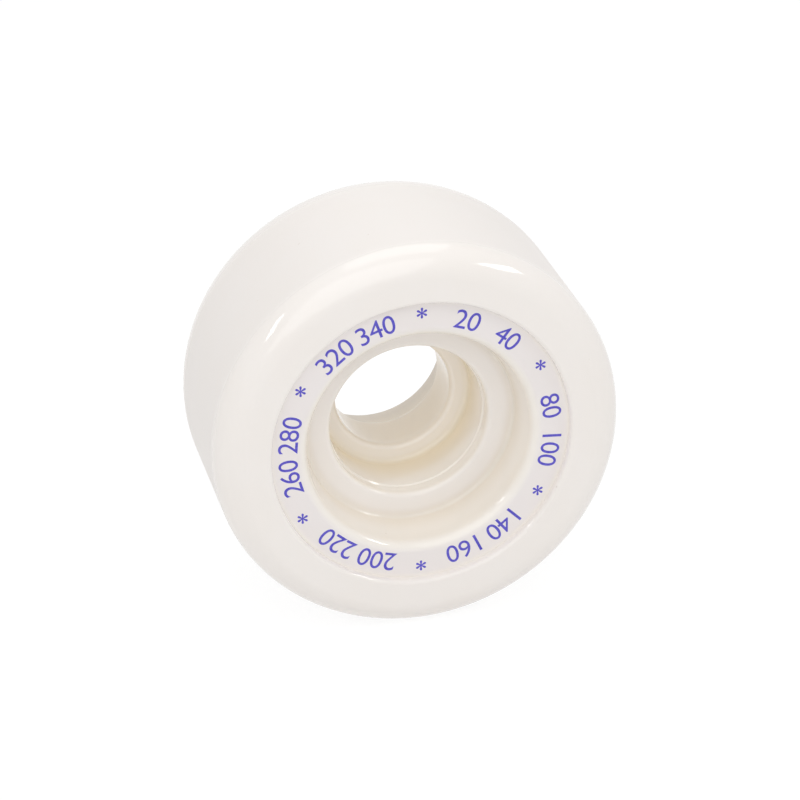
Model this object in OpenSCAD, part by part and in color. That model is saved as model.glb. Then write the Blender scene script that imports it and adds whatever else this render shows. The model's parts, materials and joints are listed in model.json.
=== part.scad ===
// Roller skate wheel: a polyurethane tyre moulded round a hub core that
// carries two ball bearings. Millimetres. The wheel turns about Y, its
// printed front face looks along -Y, and it stands on its tread with +Z up.

/* [Tyre] */
// Diameter of the tread
tread_d = 57; // [54:0.5:64]
// Width from the front face to the rear end of the hub
wheel_w = 32.8; // [30:0.2:38]
// Radius of the shoulder between tread and front face
front_shoulder_r = 4; // [2:0.1:6]
// Radius of the shoulder between tread and rear face
rear_shoulder_r = 8.3; // [3:0.1:10]
// Diameter of the lip round the printed ring
lip_d = 41.9; // [40:0.1:44]
// Rounding of the lip's edge
lip_round = 0.6; // [0.2:0.05:0.9]

/* [Printed ring] */
// Depth of the printed ring below the front face
ring_depth = 1.25; // [1:0.05:2]
// Thickness of the ring's flange
ring_t = 2.4; // [1.5:0.1:3]
// Width of the rim that the tyre's lip covers
rim_w = 1.5; // [0.5:0.1:2]
// Rounding of the ring's inner edge
ring_edge_round = 1.6; // [0.5:0.1:2]

/* [Nut recess] */
// Depth of the recess from the front face to its floor
recess_depth = 7.7; // [6:0.1:9]
// Diameter at the top of the recess wall
recess_top_d = 31.8; // [30.5:0.1:33]
// Diameter at the foot of the recess wall
recess_foot_d = 29.9; // [28:0.1:30.4]
// Fillet between the wall and the floor of the recess
recess_fillet = 0.6; // [0.3:0.1:1.5]
// Thickness of the wall round the recess
recess_wall = 2.6; // [2:0.1:3]
// Thickness of the recess floor
recess_floor_t = 3.8; // [2.5:0.1:5]

/* [Bearing seats] */
// Outer diameter of the ball bearings
bearing_d = 22; // [19:0.5:23]
// Width of the ball bearings
bearing_w = 7; // [6:0.5:7]
// How far the rear bearing lies inside the rear end
rear_inset = 0.8; // [0.5:0.1:2]
// Radial relief at the front mouth, which ends in a 45 degree lead-in
mouth_relief = 0.2; // [0.1:0.1:0.8]
// Depth of that relief above its lead-in
mouth_depth = 2; // [1.3:0.1:2.5]
// Rounding of the front mouth's edge
mouth_round = 0.8; // [0.2:0.1:1.2]
// Rounding of the rear mouth's edge
rear_lead_in = 0.5; // [0.2:0.1:0.8]
// Fillet at the bottom of a seat
seat_fillet = 0.8; // [0.2:0.1:0.9]
// Height of the stop that a bearing's outer ring rests on
stop_step = 2.7; // [2:0.1:3.2]
// Rounding of the stop's edges
stop_round = 0.8; // [0.2:0.1:0.9]

/* [Hub barrel] */
// Wall of the barrel round the bearings
barrel_wall = 3.8; // [3:0.1:4]
// How far the rear end of the hub stands out of the tyre
rear_proud = 0.4; // [0.2:0.1:1]
// Rounding of the rear end's outer edge
rear_round = 0.3; // [0.1:0.05:0.3]

/* [Anchor disc] */
// Diameter of the disc that anchors the hub in the tyre
anchor_d = 42; // [40:0.5:44]
// Thickness of the disc
anchor_t = 4; // [3:0.1:5]
// Rounding of the disc's edge
anchor_round = 1; // [0.3:0.1:1.4]
// Number of locking holes in the disc
anchor_holes = 12; // [6:1:14]
// Diameter of a locking hole
anchor_hole_d = 3.4; // [2:0.1:3.6]

/* [Hidden] */
$fn = 128;

front = wheel_w / 2;
rear = -front;
tread_r = tread_d / 2;
lip_r = lip_d / 2;
tyre_rear = rear + rear_proud;

ring_face = front - ring_depth;
ring_back = ring_face - ring_t;
rim_r = lip_r + rim_w;

recess_floor = front - recess_depth;
recess_top_r = recess_top_d / 2;
recess_foot_r = recess_foot_d / 2;
cup_r = recess_top_r + recess_wall;
cup_back = recess_floor - recess_floor_t;

seat_r = bearing_d / 2;
mouth_r = seat_r + mouth_relief;
mouth_foot = recess_floor - mouth_depth;
front_seat_top = mouth_foot - mouth_relief;
front_stop = front_seat_top - bearing_w;
rear_stop = rear + rear_inset + bearing_w;
stop_r = seat_r - stop_step;
barrel_r = seat_r + barrel_wall;

anchor_r = anchor_d / 2;
anchor_mid = (front_stop + rear_stop) / 2;
anchor_front = anchor_mid + anchor_t / 2;
anchor_back = anchor_mid - anchor_t / 2;
anchor_pitch_r = (barrel_r + anchor_r) / 2;

// Overrun of a cut or a peg past the face that it goes through
past = 1;
// Overlap of an arc with the lines that it joins
lap = 0.001;

// Band of a profile from the axis to radius r, between two heights
module disc_band(r, low, high) {
    translate([0, low])
        square([r, high - low]);
}

// What a rounding takes from a square corner, or a fillet adds to it.
// The arc's centre lies from the corner in the direction quad.
module corner(at, quad, r) {
    difference() {
        translate([at.x + min(0, quad.x * r), at.y + min(0, quad.y * r)])
            square([r, r]);
        translate([at.x + quad.x * r, at.y + quad.y * r])
            circle(r);
    }
}

// Turns a profile of radius and height about the wheel's axis
module turned() {
    rotate([90, 0, 0])
        rotate_extrude()
            children();
}

// Outer outline of the hub core, filled to the axis
module hub_outline() {
    difference() {
        union() {
            disc_band(rim_r, ring_back, ring_face);
            disc_band(cup_r, cup_back, ring_face);
            disc_band(barrel_r, rear, ring_face);
            disc_band(anchor_r, anchor_back, anchor_front);
        }
        corner([barrel_r, rear], [-1, 1], rear_round);
        corner([anchor_r, anchor_front], [-1, -1], anchor_round);
        corner([anchor_r, anchor_back], [-1, 1], anchor_round);
    }
}

// The nut recess with its sloping wall, rounded at the top and foot.
// Each arc meets its two lines at the distance reach from their corner.
module recess_void() {
    slope = atan2(recess_top_r - recess_foot_r, ring_face - recess_floor);
    foot_reach = recess_fillet * tan((90 - slope) / 2);
    top_reach = ring_edge_round * tan((90 - slope) / 2);
    foot_arc_r = recess_foot_r - foot_reach;
    top_arc_r = recess_top_r + top_reach;
    difference() {
        polygon([
            [0, recess_floor],
            [foot_arc_r, recess_floor],
            [recess_foot_r + foot_reach * sin(slope), recess_floor + foot_reach * cos(slope)],
            [recess_top_r - top_reach * sin(slope), ring_face - top_reach * cos(slope)],
            [top_arc_r, ring_face],
            [top_arc_r, ring_face + past],
            [0, ring_face + past]
        ]);
        translate([top_arc_r, ring_face - ring_edge_round])
            circle(ring_edge_round + lap);
    }
    translate([foot_arc_r, recess_floor + recess_fillet])
        circle(recess_fillet + lap);
}

// A bearing seat from its mouth to its stop, filleted at the stop.
// The sign out is 1 where the mouth looks to the front and -1 to the rear.
module seat_void(mouth, stop, out) {
    difference() {
        disc_band(seat_r, min(mouth, stop), max(mouth, stop));
        corner([seat_r, stop], [-1, out], seat_fillet);
    }
}

// Relief and lead-in that guide a bearing into the front seat
module front_mouth_void() {
    polygon([
        [0, recess_floor],
        [mouth_r, recess_floor],
        [mouth_r, mouth_foot],
        [seat_r, front_seat_top],
        [0, front_seat_top]
    ]);
    corner([mouth_r, recess_floor], [1, -1], mouth_round);
}

// The bore between the seats, rounded where it opens into them
module stop_void() {
    disc_band(stop_r, rear_stop, front_stop);
    corner([stop_r, front_stop], [1, -1], stop_round);
    corner([stop_r, rear_stop], [1, 1], stop_round);
}

// Section of the hub core
module hub_profile() {
    difference() {
        hub_outline();
        recess_void();
        front_mouth_void();
        seat_void(recess_floor, front_stop, 1);
        stop_void();
        seat_void(rear, rear_stop, -1);
        corner([seat_r, rear], [1, 1], rear_lead_in);
    }
}

// Section of the tyre, moulded against the hub's outline
module tyre_profile() {
    difference() {
        disc_band(tread_r, tyre_rear, front);
        corner([tread_r, front], [-1, -1], front_shoulder_r);
        corner([tread_r, tyre_rear], [-1, 1], rear_shoulder_r);
        disc_band(lip_r, ring_face - past, front + past);
        corner([lip_r, front], [1, -1], lip_round);
        hub_outline();
    }
}

// The pegs of tyre that fill the locking holes of the anchor disc
module anchor_pegs() {
    for (i = [0 : anchor_holes - 1])
        rotate([0, i * 360 / anchor_holes, 0])
            translate([anchor_pitch_r, past - anchor_back, 0])
                rotate([90, 0, 0])
                    cylinder(d = anchor_hole_d, h = anchor_t + 2 * past);
}

module tyre() {
    color("ivory") {
        turned()
            tyre_profile();
        anchor_pegs();
    }
}

module hub_core() {
    color("seashell")
        difference() {
            turned()
                hub_profile();
            anchor_pegs();
        }
}

tyre();
hub_core();
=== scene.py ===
import json
import math

import bmesh
import bpy
from mathutils import Matrix, Quaternion, Vector


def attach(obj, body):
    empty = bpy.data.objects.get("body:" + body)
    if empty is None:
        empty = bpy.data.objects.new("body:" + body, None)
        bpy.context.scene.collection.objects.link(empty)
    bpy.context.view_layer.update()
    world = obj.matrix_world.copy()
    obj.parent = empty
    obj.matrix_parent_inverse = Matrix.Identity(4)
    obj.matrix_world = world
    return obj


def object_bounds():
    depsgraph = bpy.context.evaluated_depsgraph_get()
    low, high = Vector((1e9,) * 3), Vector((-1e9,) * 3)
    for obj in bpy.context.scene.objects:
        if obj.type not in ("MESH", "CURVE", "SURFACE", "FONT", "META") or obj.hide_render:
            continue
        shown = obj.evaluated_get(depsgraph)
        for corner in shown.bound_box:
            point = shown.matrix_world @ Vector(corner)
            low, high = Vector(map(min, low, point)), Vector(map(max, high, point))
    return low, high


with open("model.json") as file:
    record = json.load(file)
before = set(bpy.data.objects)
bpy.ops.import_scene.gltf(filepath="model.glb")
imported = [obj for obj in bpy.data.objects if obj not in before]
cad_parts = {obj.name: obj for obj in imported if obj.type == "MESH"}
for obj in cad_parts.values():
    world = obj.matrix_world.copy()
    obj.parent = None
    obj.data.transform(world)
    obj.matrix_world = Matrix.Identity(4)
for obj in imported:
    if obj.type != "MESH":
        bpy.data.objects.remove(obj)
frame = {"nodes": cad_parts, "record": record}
cad_low, cad_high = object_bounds()

MM = 0.001

# Depths below the front face
RING_DEPTH = 1.25 * MM
RECESS_DEPTH = 7.7 * MM

# Marks on the printed ring
DIGIT_RADIUS = 18.61 * MM
DIGIT_HEIGHT = 2.72 * MM
DIGIT_PITCH = 1.9 * MM
STAR_RADIUS = 19.27 * MM
STAR_HEIGHT = 1.5 * MM
STAR_GROWTH = 0.05 * MM
INK_THICKNESS = 0.02 * MM
NUMBER_STEP = 20
STAR_STEP = 60

# Tints and painted shade about the axis: how far they reach in radius and along the axis, and what share
# is full
HAZE_RADIUS = 18.7 * MM
HAZE_REACH = {"across": 2.4 * MM, "along": 5 * MM, "core": 0.6}
# The reaches below are those of painted shade
AMBER_SHADE_REACH = {"across": 1.2 * MM, "along": 6 * MM, "core": 0}
FOOT_RADIUS = 14.95 * MM
FOOT_REACH = {"across": 1.6 * MM, "along": 4 * MM, "core": 0}
SHELF_RADIUS = 13 * MM
SHELF_REACH = {"across": 2.2 * MM, "along": 1.2 * MM, "core": 0.4}
BORE_SHADE_REACH = {"across": 2.5 * MM, "along": 5 * MM, "core": 0.3}
REAR_SHADE_REACH = {"across": 2 * MM, "along": 4.5 * MM, "core": 0.2}

# Camera at the photograph's viewing angle
VIEW_AZIMUTH = -14.51
VIEW_ELEVATION = 26.76
VIEW_DISTANCE = 400 * MM
LENS = 130.5
SENSOR = 36
AIM_RIGHT = -1.33 * MM
AIM_UP = 2.93 * MM

# Light: a white surround, a white floor, and lamps with their distance and sides
LIGHT_BOUNCES = 24
WORLD_LEVEL = 0.57
LEFT_STRIP = {"distance": 500 * MM, "length": 190 * MM, "width": 48 * MM}
RIGHT_STRIP = {"distance": 500 * MM, "length": 215 * MM, "width": 65 * MM}
FRONT_BOX = {"distance": 320 * MM, "length": 340 * MM, "width": 340 * MM}
TOP_BOX = {"distance": 400 * MM, "length": 300 * MM, "width": 300 * MM}
FLOOR_SIDE = 6000 * MM
FLOOR_WHITE = (0.85, 0.85, 0.85)
FLOOR_GLOW = 1.1
FLOOR_GLOW_SHARE = 0.8

# Finish of the ivory, with noise in cells per metre
NOISE_LOW = 0.35
NOISE_HIGH = 0.65
CLOUD = {"scale": 140, "detail": 3}
SKIN = {"scale": 1900, "detail": 2}
SKIN_DEPTH = 0.002 * MM
DUST = {"scale": 1700, "detail": 0}
DUST_LOW = 0.895
DUST_HIGH = 0.925
GLOSS = (0.07, 0.11)
GROUND_ROUGHNESS = 0.35
TREAD_RING = {
    "radius": cad_high.z,
    "depth": -2.3 * MM,
    "across": 1.5 * MM,
    "along": 11.6 * MM,
    "core": 0.8,
}
SHARP_ANGLE = math.radians(40)
WELD_DISTANCE = 0.0001 * MM
IOR = 1.62

# Finish of the ink
PATCHES = {"scale": 2600, "detail": 3}
INK_ROUGHNESS = (0.35, 0.5)
GLYPH_CURVE_STEPS = 6

# Colours, in linear light. Those of tints and of painted shade multiply what they lie on.
TYRE_PALE = (0.953, 0.908, 0.868)
TYRE_WARM = (0.949, 0.901, 0.856)
HUB_PALE = (0.96, 0.918, 0.862)
HUB_WARM = (0.957, 0.911, 0.848)
HAZE = (0.94, 0.93, 0.975)
# Painted warm shade in the deep corners of the bearing seats
AMBER_PAINTED_SHADE = (0.98, 0.94, 0.83)
# Painted shade, darker and warmer, in the middle of the bore
BORE_PAINTED_SHADE = (0.97, 0.95, 0.9)
# Painted shade at the mouth of the rear bearing seat
REAR_PAINTED_SHADE = (0.86, 0.84, 0.81)
# Painted shade at the foot of the recess wall, where it meets the floor
FOOT_PAINTED_SHADE = (0.94, 0.915, 0.87)
# Painted shade on the recess floor round the seat's mouth
SHELF_PAINTED_SHADE = (0.955, 0.95, 0.965)
SCUFF = (0.972, 0.972, 0.976)
SPECK = (0.85, 0.82, 0.78)
INK = (0.058, 0.045, 0.52)
INK_PALE = (0.11, 0.09, 0.62)
WHITE = (1, 1, 1)


def rgba(colour):
    return (*colour, 1)


def new_material(name):
    """A material with one Principled shader, and its node tree."""
    material = bpy.data.materials.new(name)
    material.use_nodes = True
    tree = material.node_tree
    tree.nodes.clear()
    shader = tree.nodes.new("ShaderNodeBsdfPrincipled")
    output = tree.nodes.new("ShaderNodeOutputMaterial")
    tree.links.new(shader.outputs["BSDF"], output.inputs["Surface"])
    return material, tree, shader


def noise(tree, scale, detail):
    """Noise fixed to the piece, with scale in cells per metre."""
    place = tree.nodes.new("ShaderNodeTexCoord")
    texture = tree.nodes.new("ShaderNodeTexNoise")
    texture.inputs["Scale"].default_value = scale
    texture.inputs["Detail"].default_value = detail
    tree.links.new(place.outputs["Object"], texture.inputs["Vector"])
    return texture.outputs["Fac"]


def between(tree, factor, low, high):
    """A colour that goes from low to high as factor goes over its middle."""
    ramp = tree.nodes.new("ShaderNodeValToRGB")
    ramp.color_ramp.elements[0].position = NOISE_LOW
    ramp.color_ramp.elements[0].color = rgba(low)
    ramp.color_ramp.elements[1].position = NOISE_HIGH
    ramp.color_ramp.elements[1].color = rgba(high)
    tree.links.new(factor, ramp.inputs["Fac"])
    return ramp.outputs["Color"]


def spread(tree, factor, low, high, start=NOISE_LOW, end=NOISE_HIGH):
    """A number that goes from low to high as factor goes from start to end."""
    span = tree.nodes.new("ShaderNodeMapRange")
    span.inputs["From Min"].default_value = start
    span.inputs["From Max"].default_value = end
    span.inputs["To Min"].default_value = low
    span.inputs["To Max"].default_value = high
    tree.links.new(factor, span.inputs["Value"])
    return span.outputs["Result"]


def tinted(tree, colour, factor, tint):
    """The colour, multiplied by the tint where the factor is 1."""
    mix = tree.nodes.new("ShaderNodeMix")
    mix.data_type = "RGBA"
    mix.blend_type = "MULTIPLY"
    sockets = {socket.identifier: socket for socket in mix.inputs}
    tree.links.new(factor, sockets["Factor_Float"])
    tree.links.new(colour, sockets["A_Color"])
    sockets["B_Color"].default_value = rgba(tint)
    return next(socket for socket in mix.outputs if socket.identifier == "Result_Color")


def calculated(tree, operation, value, number):
    """The result of a calculation on a value and a number, or on two values."""
    node = tree.nodes.new("ShaderNodeMath")
    node.operation = operation
    tree.links.new(value, node.inputs[0])
    if isinstance(number, bpy.types.NodeSocket):
        tree.links.new(number, node.inputs[1])
    else:
        node.inputs[1].default_value = number
    return node.outputs["Value"]


def vector_length(tree, vector):
    node = tree.nodes.new("ShaderNodeVectorMath")
    node.operation = "LENGTH"
    tree.links.new(vector, node.inputs[0])
    return node.outputs["Value"]


def about_axis(tree):
    """Distance from the wheel's axis, and place along it."""
    place = tree.nodes.new("ShaderNodeTexCoord")
    flat = tree.nodes.new("ShaderNodeVectorMath")
    flat.operation = "MULTIPLY"
    flat.inputs[1].default_value = (1, 0, 1)
    parts = tree.nodes.new("ShaderNodeSeparateXYZ")
    tree.links.new(place.outputs["Object"], flat.inputs[0])
    tree.links.new(place.outputs["Object"], parts.inputs["Vector"])
    return vector_length(tree, flat.outputs["Vector"]), parts.outputs["Y"]


def near_ring(tree, radius, depth, across, along, core):
    """1 on a ring about the axis, and on a core round it, fading to 0 across and along."""
    distance, place = about_axis(tree)
    offset = tree.nodes.new("ShaderNodeCombineXYZ")
    for socket, value, middle, reach in (("X", distance, radius, across), ("Y", place, depth, along)):
        from_middle = calculated(tree, "SUBTRACT", value, middle)
        tree.links.new(calculated(tree, "DIVIDE", from_middle, reach), offset.inputs[socket])
    fade = tree.nodes.new("ShaderNodeMapRange")
    fade.interpolation_type = "SMOOTHSTEP"
    fade.inputs["From Min"].default_value = 1
    fade.inputs["From Max"].default_value = core
    tree.links.new(vector_length(tree, offset.outputs["Vector"]), fade.inputs["Value"])
    return fade.outputs["Result"]


def bump(tree, shader, height, depth):
    """Fine relief over the whole surface."""
    node = tree.nodes.new("ShaderNodeBump")
    node.inputs["Strength"].default_value = 1
    node.inputs["Distance"].default_value = depth
    tree.links.new(height, node.inputs["Height"])
    tree.links.new(node.outputs["Normal"], shader.inputs["Normal"])


def ivory(name, pale, warm, tints):
    """Glossy cast ivory, clouded, with a fine skin and a few specks of dust.

    The tread is ground to a dull finish. The tints are colours with a ring about the axis each, and most
    of the hub's are painted shade.
    """
    material, tree, shader = new_material(name)
    cloud = noise(tree, **CLOUD)
    skin = noise(tree, **SKIN)
    dust = noise(tree, **DUST)
    colour = between(tree, cloud, warm, pale)
    colour = tinted(tree, colour, spread(tree, dust, 0, 1, DUST_LOW, DUST_HIGH), SPECK)
    for tint, ring in tints:
        colour = tinted(tree, colour, near_ring(tree, **ring), tint)
    tree.links.new(colour, shader.inputs["Base Color"])
    ground = near_ring(tree, **TREAD_RING)
    added = calculated(tree, "MULTIPLY", ground, GROUND_ROUGHNESS)
    roughness = calculated(tree, "ADD", spread(tree, cloud, *GLOSS), added)
    tree.links.new(roughness, shader.inputs["Roughness"])
    bump(tree, shader, skin, SKIN_DEPTH)
    shader.inputs["IOR"].default_value = IOR
    return material


def ink(name):
    """Printing ink, a little uneven where it took less well."""
    material, tree, shader = new_material(name)
    patches = noise(tree, **PATCHES)
    tree.links.new(between(tree, patches, INK, INK_PALE), shader.inputs["Base Color"])
    tree.links.new(spread(tree, patches, *INK_ROUGHNESS), shader.inputs["Roughness"])
    shader.inputs["IOR"].default_value = IOR
    return material


def glyph(character, height, growth):
    """Mesh of one character, centred on the origin, as tall as height, its strokes grown outwards."""
    curve = bpy.data.curves.new("glyph", "FONT")
    curve.body = character
    curve.resolution_u = GLYPH_CURVE_STEPS
    text = bpy.data.objects.new("glyph", curve)
    bpy.context.collection.objects.link(text)
    flat = bpy.data.meshes.new_from_object(text.evaluated_get(bpy.context.evaluated_depsgraph_get()))
    high = [max(v.co[i] for v in flat.vertices) for i in (0, 1)]
    low = [min(v.co[i] for v in flat.vertices) for i in (0, 1)]
    bpy.data.meshes.remove(flat)
    size = height / (high[1] - low[1])
    curve.size = size
    curve.offset = growth
    curve.extrude = INK_THICKNESS / 2
    bpy.context.view_layer.update()
    mesh = bpy.data.meshes.new_from_object(text.evaluated_get(bpy.context.evaluated_depsgraph_get()))
    middle = Vector(((high[0] + low[0]) / 2 * size, (high[1] + low[1]) / 2 * size, 0))
    mesh.transform(Matrix.Translation(-middle))
    bpy.data.objects.remove(text)
    bpy.data.curves.remove(curve)
    return mesh


def on_ring(angle, radius):
    """Matrix that stands a glyph on the printed ring, clockwise from the top, its head outwards."""
    turn = math.radians(angle)
    along = Vector((math.cos(turn), 0, -math.sin(turn)))
    outward = Vector((math.sin(turn), 0, math.cos(turn)))
    ring_face = cad_low.y + RING_DEPTH
    place = outward * radius + Vector((0, ring_face, 0))
    columns = Matrix((along, outward, along.cross(outward))).transposed().to_4x4()
    return Matrix.Translation(place) @ columns


def printed(name, glyphs, height, growth, radius, material):
    """One piece of ink from glyphs given as (character, angle), all on one radius."""
    joined = bmesh.new()
    for character, angle in glyphs:
        mesh = glyph(character, height, growth)
        mesh.transform(on_ring(angle, radius))
        joined.from_mesh(mesh)
        bpy.data.meshes.remove(mesh)
    mesh = bpy.data.meshes.new(name)
    joined.to_mesh(mesh)
    joined.free()
    piece = bpy.data.objects.new(name, mesh)
    bpy.context.collection.objects.link(piece)
    mesh.materials.append(material)
    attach(piece, "root")


def dial_numbers():
    """Digits of the degree scale round the ring, which leaves the places of the stars free."""
    pitch = math.degrees(DIGIT_PITCH / DIGIT_RADIUS)
    glyphs = []
    for value in range(0, 360, NUMBER_STEP):
        if value % STAR_STEP:
            digits = str(value)
            start = value - pitch * (len(digits) - 1) / 2
            for i, digit in enumerate(digits):
                glyphs.append((digit, start + i * pitch))
    return glyphs


def dial_stars():
    """Stars at the scale's main marks."""
    return [("*", value) for value in range(0, 360, STAR_STEP)]


def view_axes(azimuth, elevation):
    """Directions from the object: back to the camera, to the picture's right, and up."""
    turn = math.radians(azimuth)
    lift = math.radians(elevation)
    back = Vector((math.sin(turn) * math.cos(lift), -math.cos(turn) * math.cos(lift), math.sin(lift)))
    right = Vector((math.cos(turn), math.sin(turn), 0))
    return back, right, back.cross(right)


def make_camera():
    """Camera that looks at the recess from the photograph's side."""
    back, right, up = view_axes(VIEW_AZIMUTH, VIEW_ELEVATION)
    mouth = Vector((0, cad_low.y + RECESS_DEPTH, 0))
    data = bpy.data.cameras.new("camera")
    data.lens = LENS
    data.sensor_width = SENSOR
    camera = bpy.data.objects.new("camera", data)
    camera.location = mouth + back * VIEW_DISTANCE
    aim = mouth + right * AIM_RIGHT + up * AIM_UP
    camera.rotation_euler = (aim - camera.location).to_track_quat("-Z", "Y").to_euler()
    bpy.context.collection.objects.link(camera)
    bpy.context.scene.camera = camera


def make_lamp(name, azimuth, elevation, roll, power, distance, length, width):
    """A soft box that looks at the wheel from that direction, its long side turned by roll."""
    back, right, up = view_axes(azimuth, elevation)
    data = bpy.data.lights.new(name, "AREA")
    data.shape = "RECTANGLE"
    data.size = length
    data.size_y = width
    data.energy = power
    lamp = bpy.data.objects.new(name, data)
    lamp.location = back * distance
    turn = (-back).to_track_quat("-Z", "Y") @ Quaternion((0, 0, 1), math.radians(roll))
    lamp.rotation_euler = turn.to_euler()
    bpy.context.collection.objects.link(lamp)


def seen_directly(tree):
    """1 for rays that show the background itself: straight, mirrored or through glass."""
    path = tree.nodes.new("ShaderNodeLightPath")
    value = path.outputs["Is Camera Ray"]
    for name in ("Is Glossy Ray", "Is Transmission Ray"):
        value = calculated(tree, "MAXIMUM", value, path.outputs[name])
    return value


def make_world():
    """White surround, which lights the wheel less brightly than it shows."""
    world = bpy.data.worlds.new("studio")
    world.use_nodes = True
    tree = world.node_tree
    tree.nodes.clear()
    fill = tree.nodes.new("ShaderNodeBackground")
    fill.inputs["Color"].default_value = rgba(WHITE)
    fill.inputs["Strength"].default_value = WORLD_LEVEL
    shown = tree.nodes.new("ShaderNodeBackground")
    shown.inputs["Color"].default_value = rgba(WHITE)
    mix = tree.nodes.new("ShaderNodeMixShader")
    output = tree.nodes.new("ShaderNodeOutputWorld")
    tree.links.new(seen_directly(tree), mix.inputs["Fac"])
    tree.links.new(fill.outputs["Background"], mix.inputs[1])
    tree.links.new(shown.outputs["Background"], mix.inputs[2])
    tree.links.new(mix.outputs["Shader"], output.inputs["Surface"])
    bpy.context.scene.world = world


def make_floor():
    """White table top under the tread, which keeps the wheel's shadow."""
    half = FLOOR_SIDE / 2
    mesh = bpy.data.meshes.new("floor")
    corners = [(-half, -half), (half, -half), (half, half), (-half, half)]
    mesh.from_pydata([(x, y, cad_low.z) for x, y in corners], [], [(0, 1, 2, 3)])
    floor = bpy.data.objects.new("floor", mesh)
    bpy.context.collection.objects.link(floor)
    material = bpy.data.materials.new("floor_white")
    material.use_nodes = True
    tree = material.node_tree
    tree.nodes.clear()
    matt = tree.nodes.new("ShaderNodeBsdfDiffuse")
    matt.inputs["Color"].default_value = rgba(FLOOR_WHITE)
    glow = tree.nodes.new("ShaderNodeEmission")
    glow.inputs["Strength"].default_value = FLOOR_GLOW
    share = calculated(tree, "MULTIPLY", seen_directly(tree), FLOOR_GLOW_SHARE)
    mix = tree.nodes.new("ShaderNodeMixShader")
    output = tree.nodes.new("ShaderNodeOutputMaterial")
    tree.links.new(share, mix.inputs["Fac"])
    tree.links.new(matt.outputs["BSDF"], mix.inputs[1])
    tree.links.new(glow.outputs["Emission"], mix.inputs[2])
    tree.links.new(mix.outputs["Shader"], output.inputs["Surface"])
    mesh.materials.append(material)


def bore_ring(name, end):
    """Ring on a bore mount's wall: end is -1 where its axis starts, 0 in the middle and 1 at its mouth."""
    mount = next(mount for mount in frame["record"]["mounts"] if mount["name"] == name)
    half_length = mount["dims"]["length_mm"] / 2 * MM
    return {
        "radius": mount["dims"]["r_mm"] * MM,
        "depth": mount["pos_m"][1] + end * mount["axis"][1] * half_length,
    }


def dress(node, material):
    """Gives a CAD node its finish, and shading that runs on over its fillets."""
    piece = frame["nodes"][node]
    piece.data.materials.clear()
    piece.data.materials.append(material)
    weld = piece.modifiers.new("weld", "WELD")
    weld.merge_threshold = WELD_DISTANCE
    split = piece.modifiers.new("split", "EDGE_SPLIT")
    split.split_angle = SHARP_ANGLE
    split.use_edge_sharp = False
    normals = piece.modifiers.new("normals", "WEIGHTED_NORMAL")
    normals.keep_sharp = False


hub_tints_and_painted_shade = [
    (HAZE, {"radius": HAZE_RADIUS, "depth": cad_low.y + RING_DEPTH, **HAZE_REACH}),
    # Painted shade at the foot of the recess wall
    (FOOT_PAINTED_SHADE, {"radius": FOOT_RADIUS, "depth": cad_low.y + RECESS_DEPTH, **FOOT_REACH}),
    # Painted shade on the recess floor
    (SHELF_PAINTED_SHADE, {"radius": SHELF_RADIUS, "depth": cad_low.y + RECESS_DEPTH, **SHELF_REACH}),
]
# Painted warm shade in the corners at the bottom of both bearing seats
for seat_name in ("front_bearing_seat", "rear_bearing_seat"):
    hub_tints_and_painted_shade.append((AMBER_PAINTED_SHADE, {**bore_ring(seat_name, -1), **AMBER_SHADE_REACH}))
# Painted shade, darker and warmer, in the middle of the bore
hub_tints_and_painted_shade.append((BORE_PAINTED_SHADE, {**bore_ring("sleeve_bore", 0), **BORE_SHADE_REACH}))
# Painted shade at the mouth of the rear bearing seat
hub_tints_and_painted_shade.append((REAR_PAINTED_SHADE, {**bore_ring("rear_bearing_seat", 1), **REAR_SHADE_REACH}))
dress("tyre", ivory("tyre_urethane", TYRE_PALE, TYRE_WARM, [(SCUFF, TREAD_RING)]))
dress("hub_core", ivory("hub_plastic", HUB_PALE, HUB_WARM, hub_tints_and_painted_shade))
marks = ink("violet_ink")
printed("printed_numbers", dial_numbers(), DIGIT_HEIGHT, 0, DIGIT_RADIUS, marks)
printed("printed_stars", dial_stars(), STAR_HEIGHT, STAR_GROWTH, STAR_RADIUS, marks)

make_world()
make_floor()
make_lamp("strip_left", azimuth=-83, elevation=34, roll=-29, power=0.19, **LEFT_STRIP)
make_lamp("strip_right", azimuth=59, elevation=37.5, roll=0, power=0.28, **RIGHT_STRIP)
make_lamp("front_box", azimuth=-18, elevation=40, roll=0, power=0.287, **FRONT_BOX)
make_lamp("top_box", azimuth=-10, elevation=108, roll=0, power=0.265, **TOP_BOX)
make_camera()
scene = bpy.context.scene
scene.cycles.max_bounces = LIGHT_BOUNCES
scene.cycles.diffuse_bounces = LIGHT_BOUNCES
scene.view_settings.view_transform = "Standard"
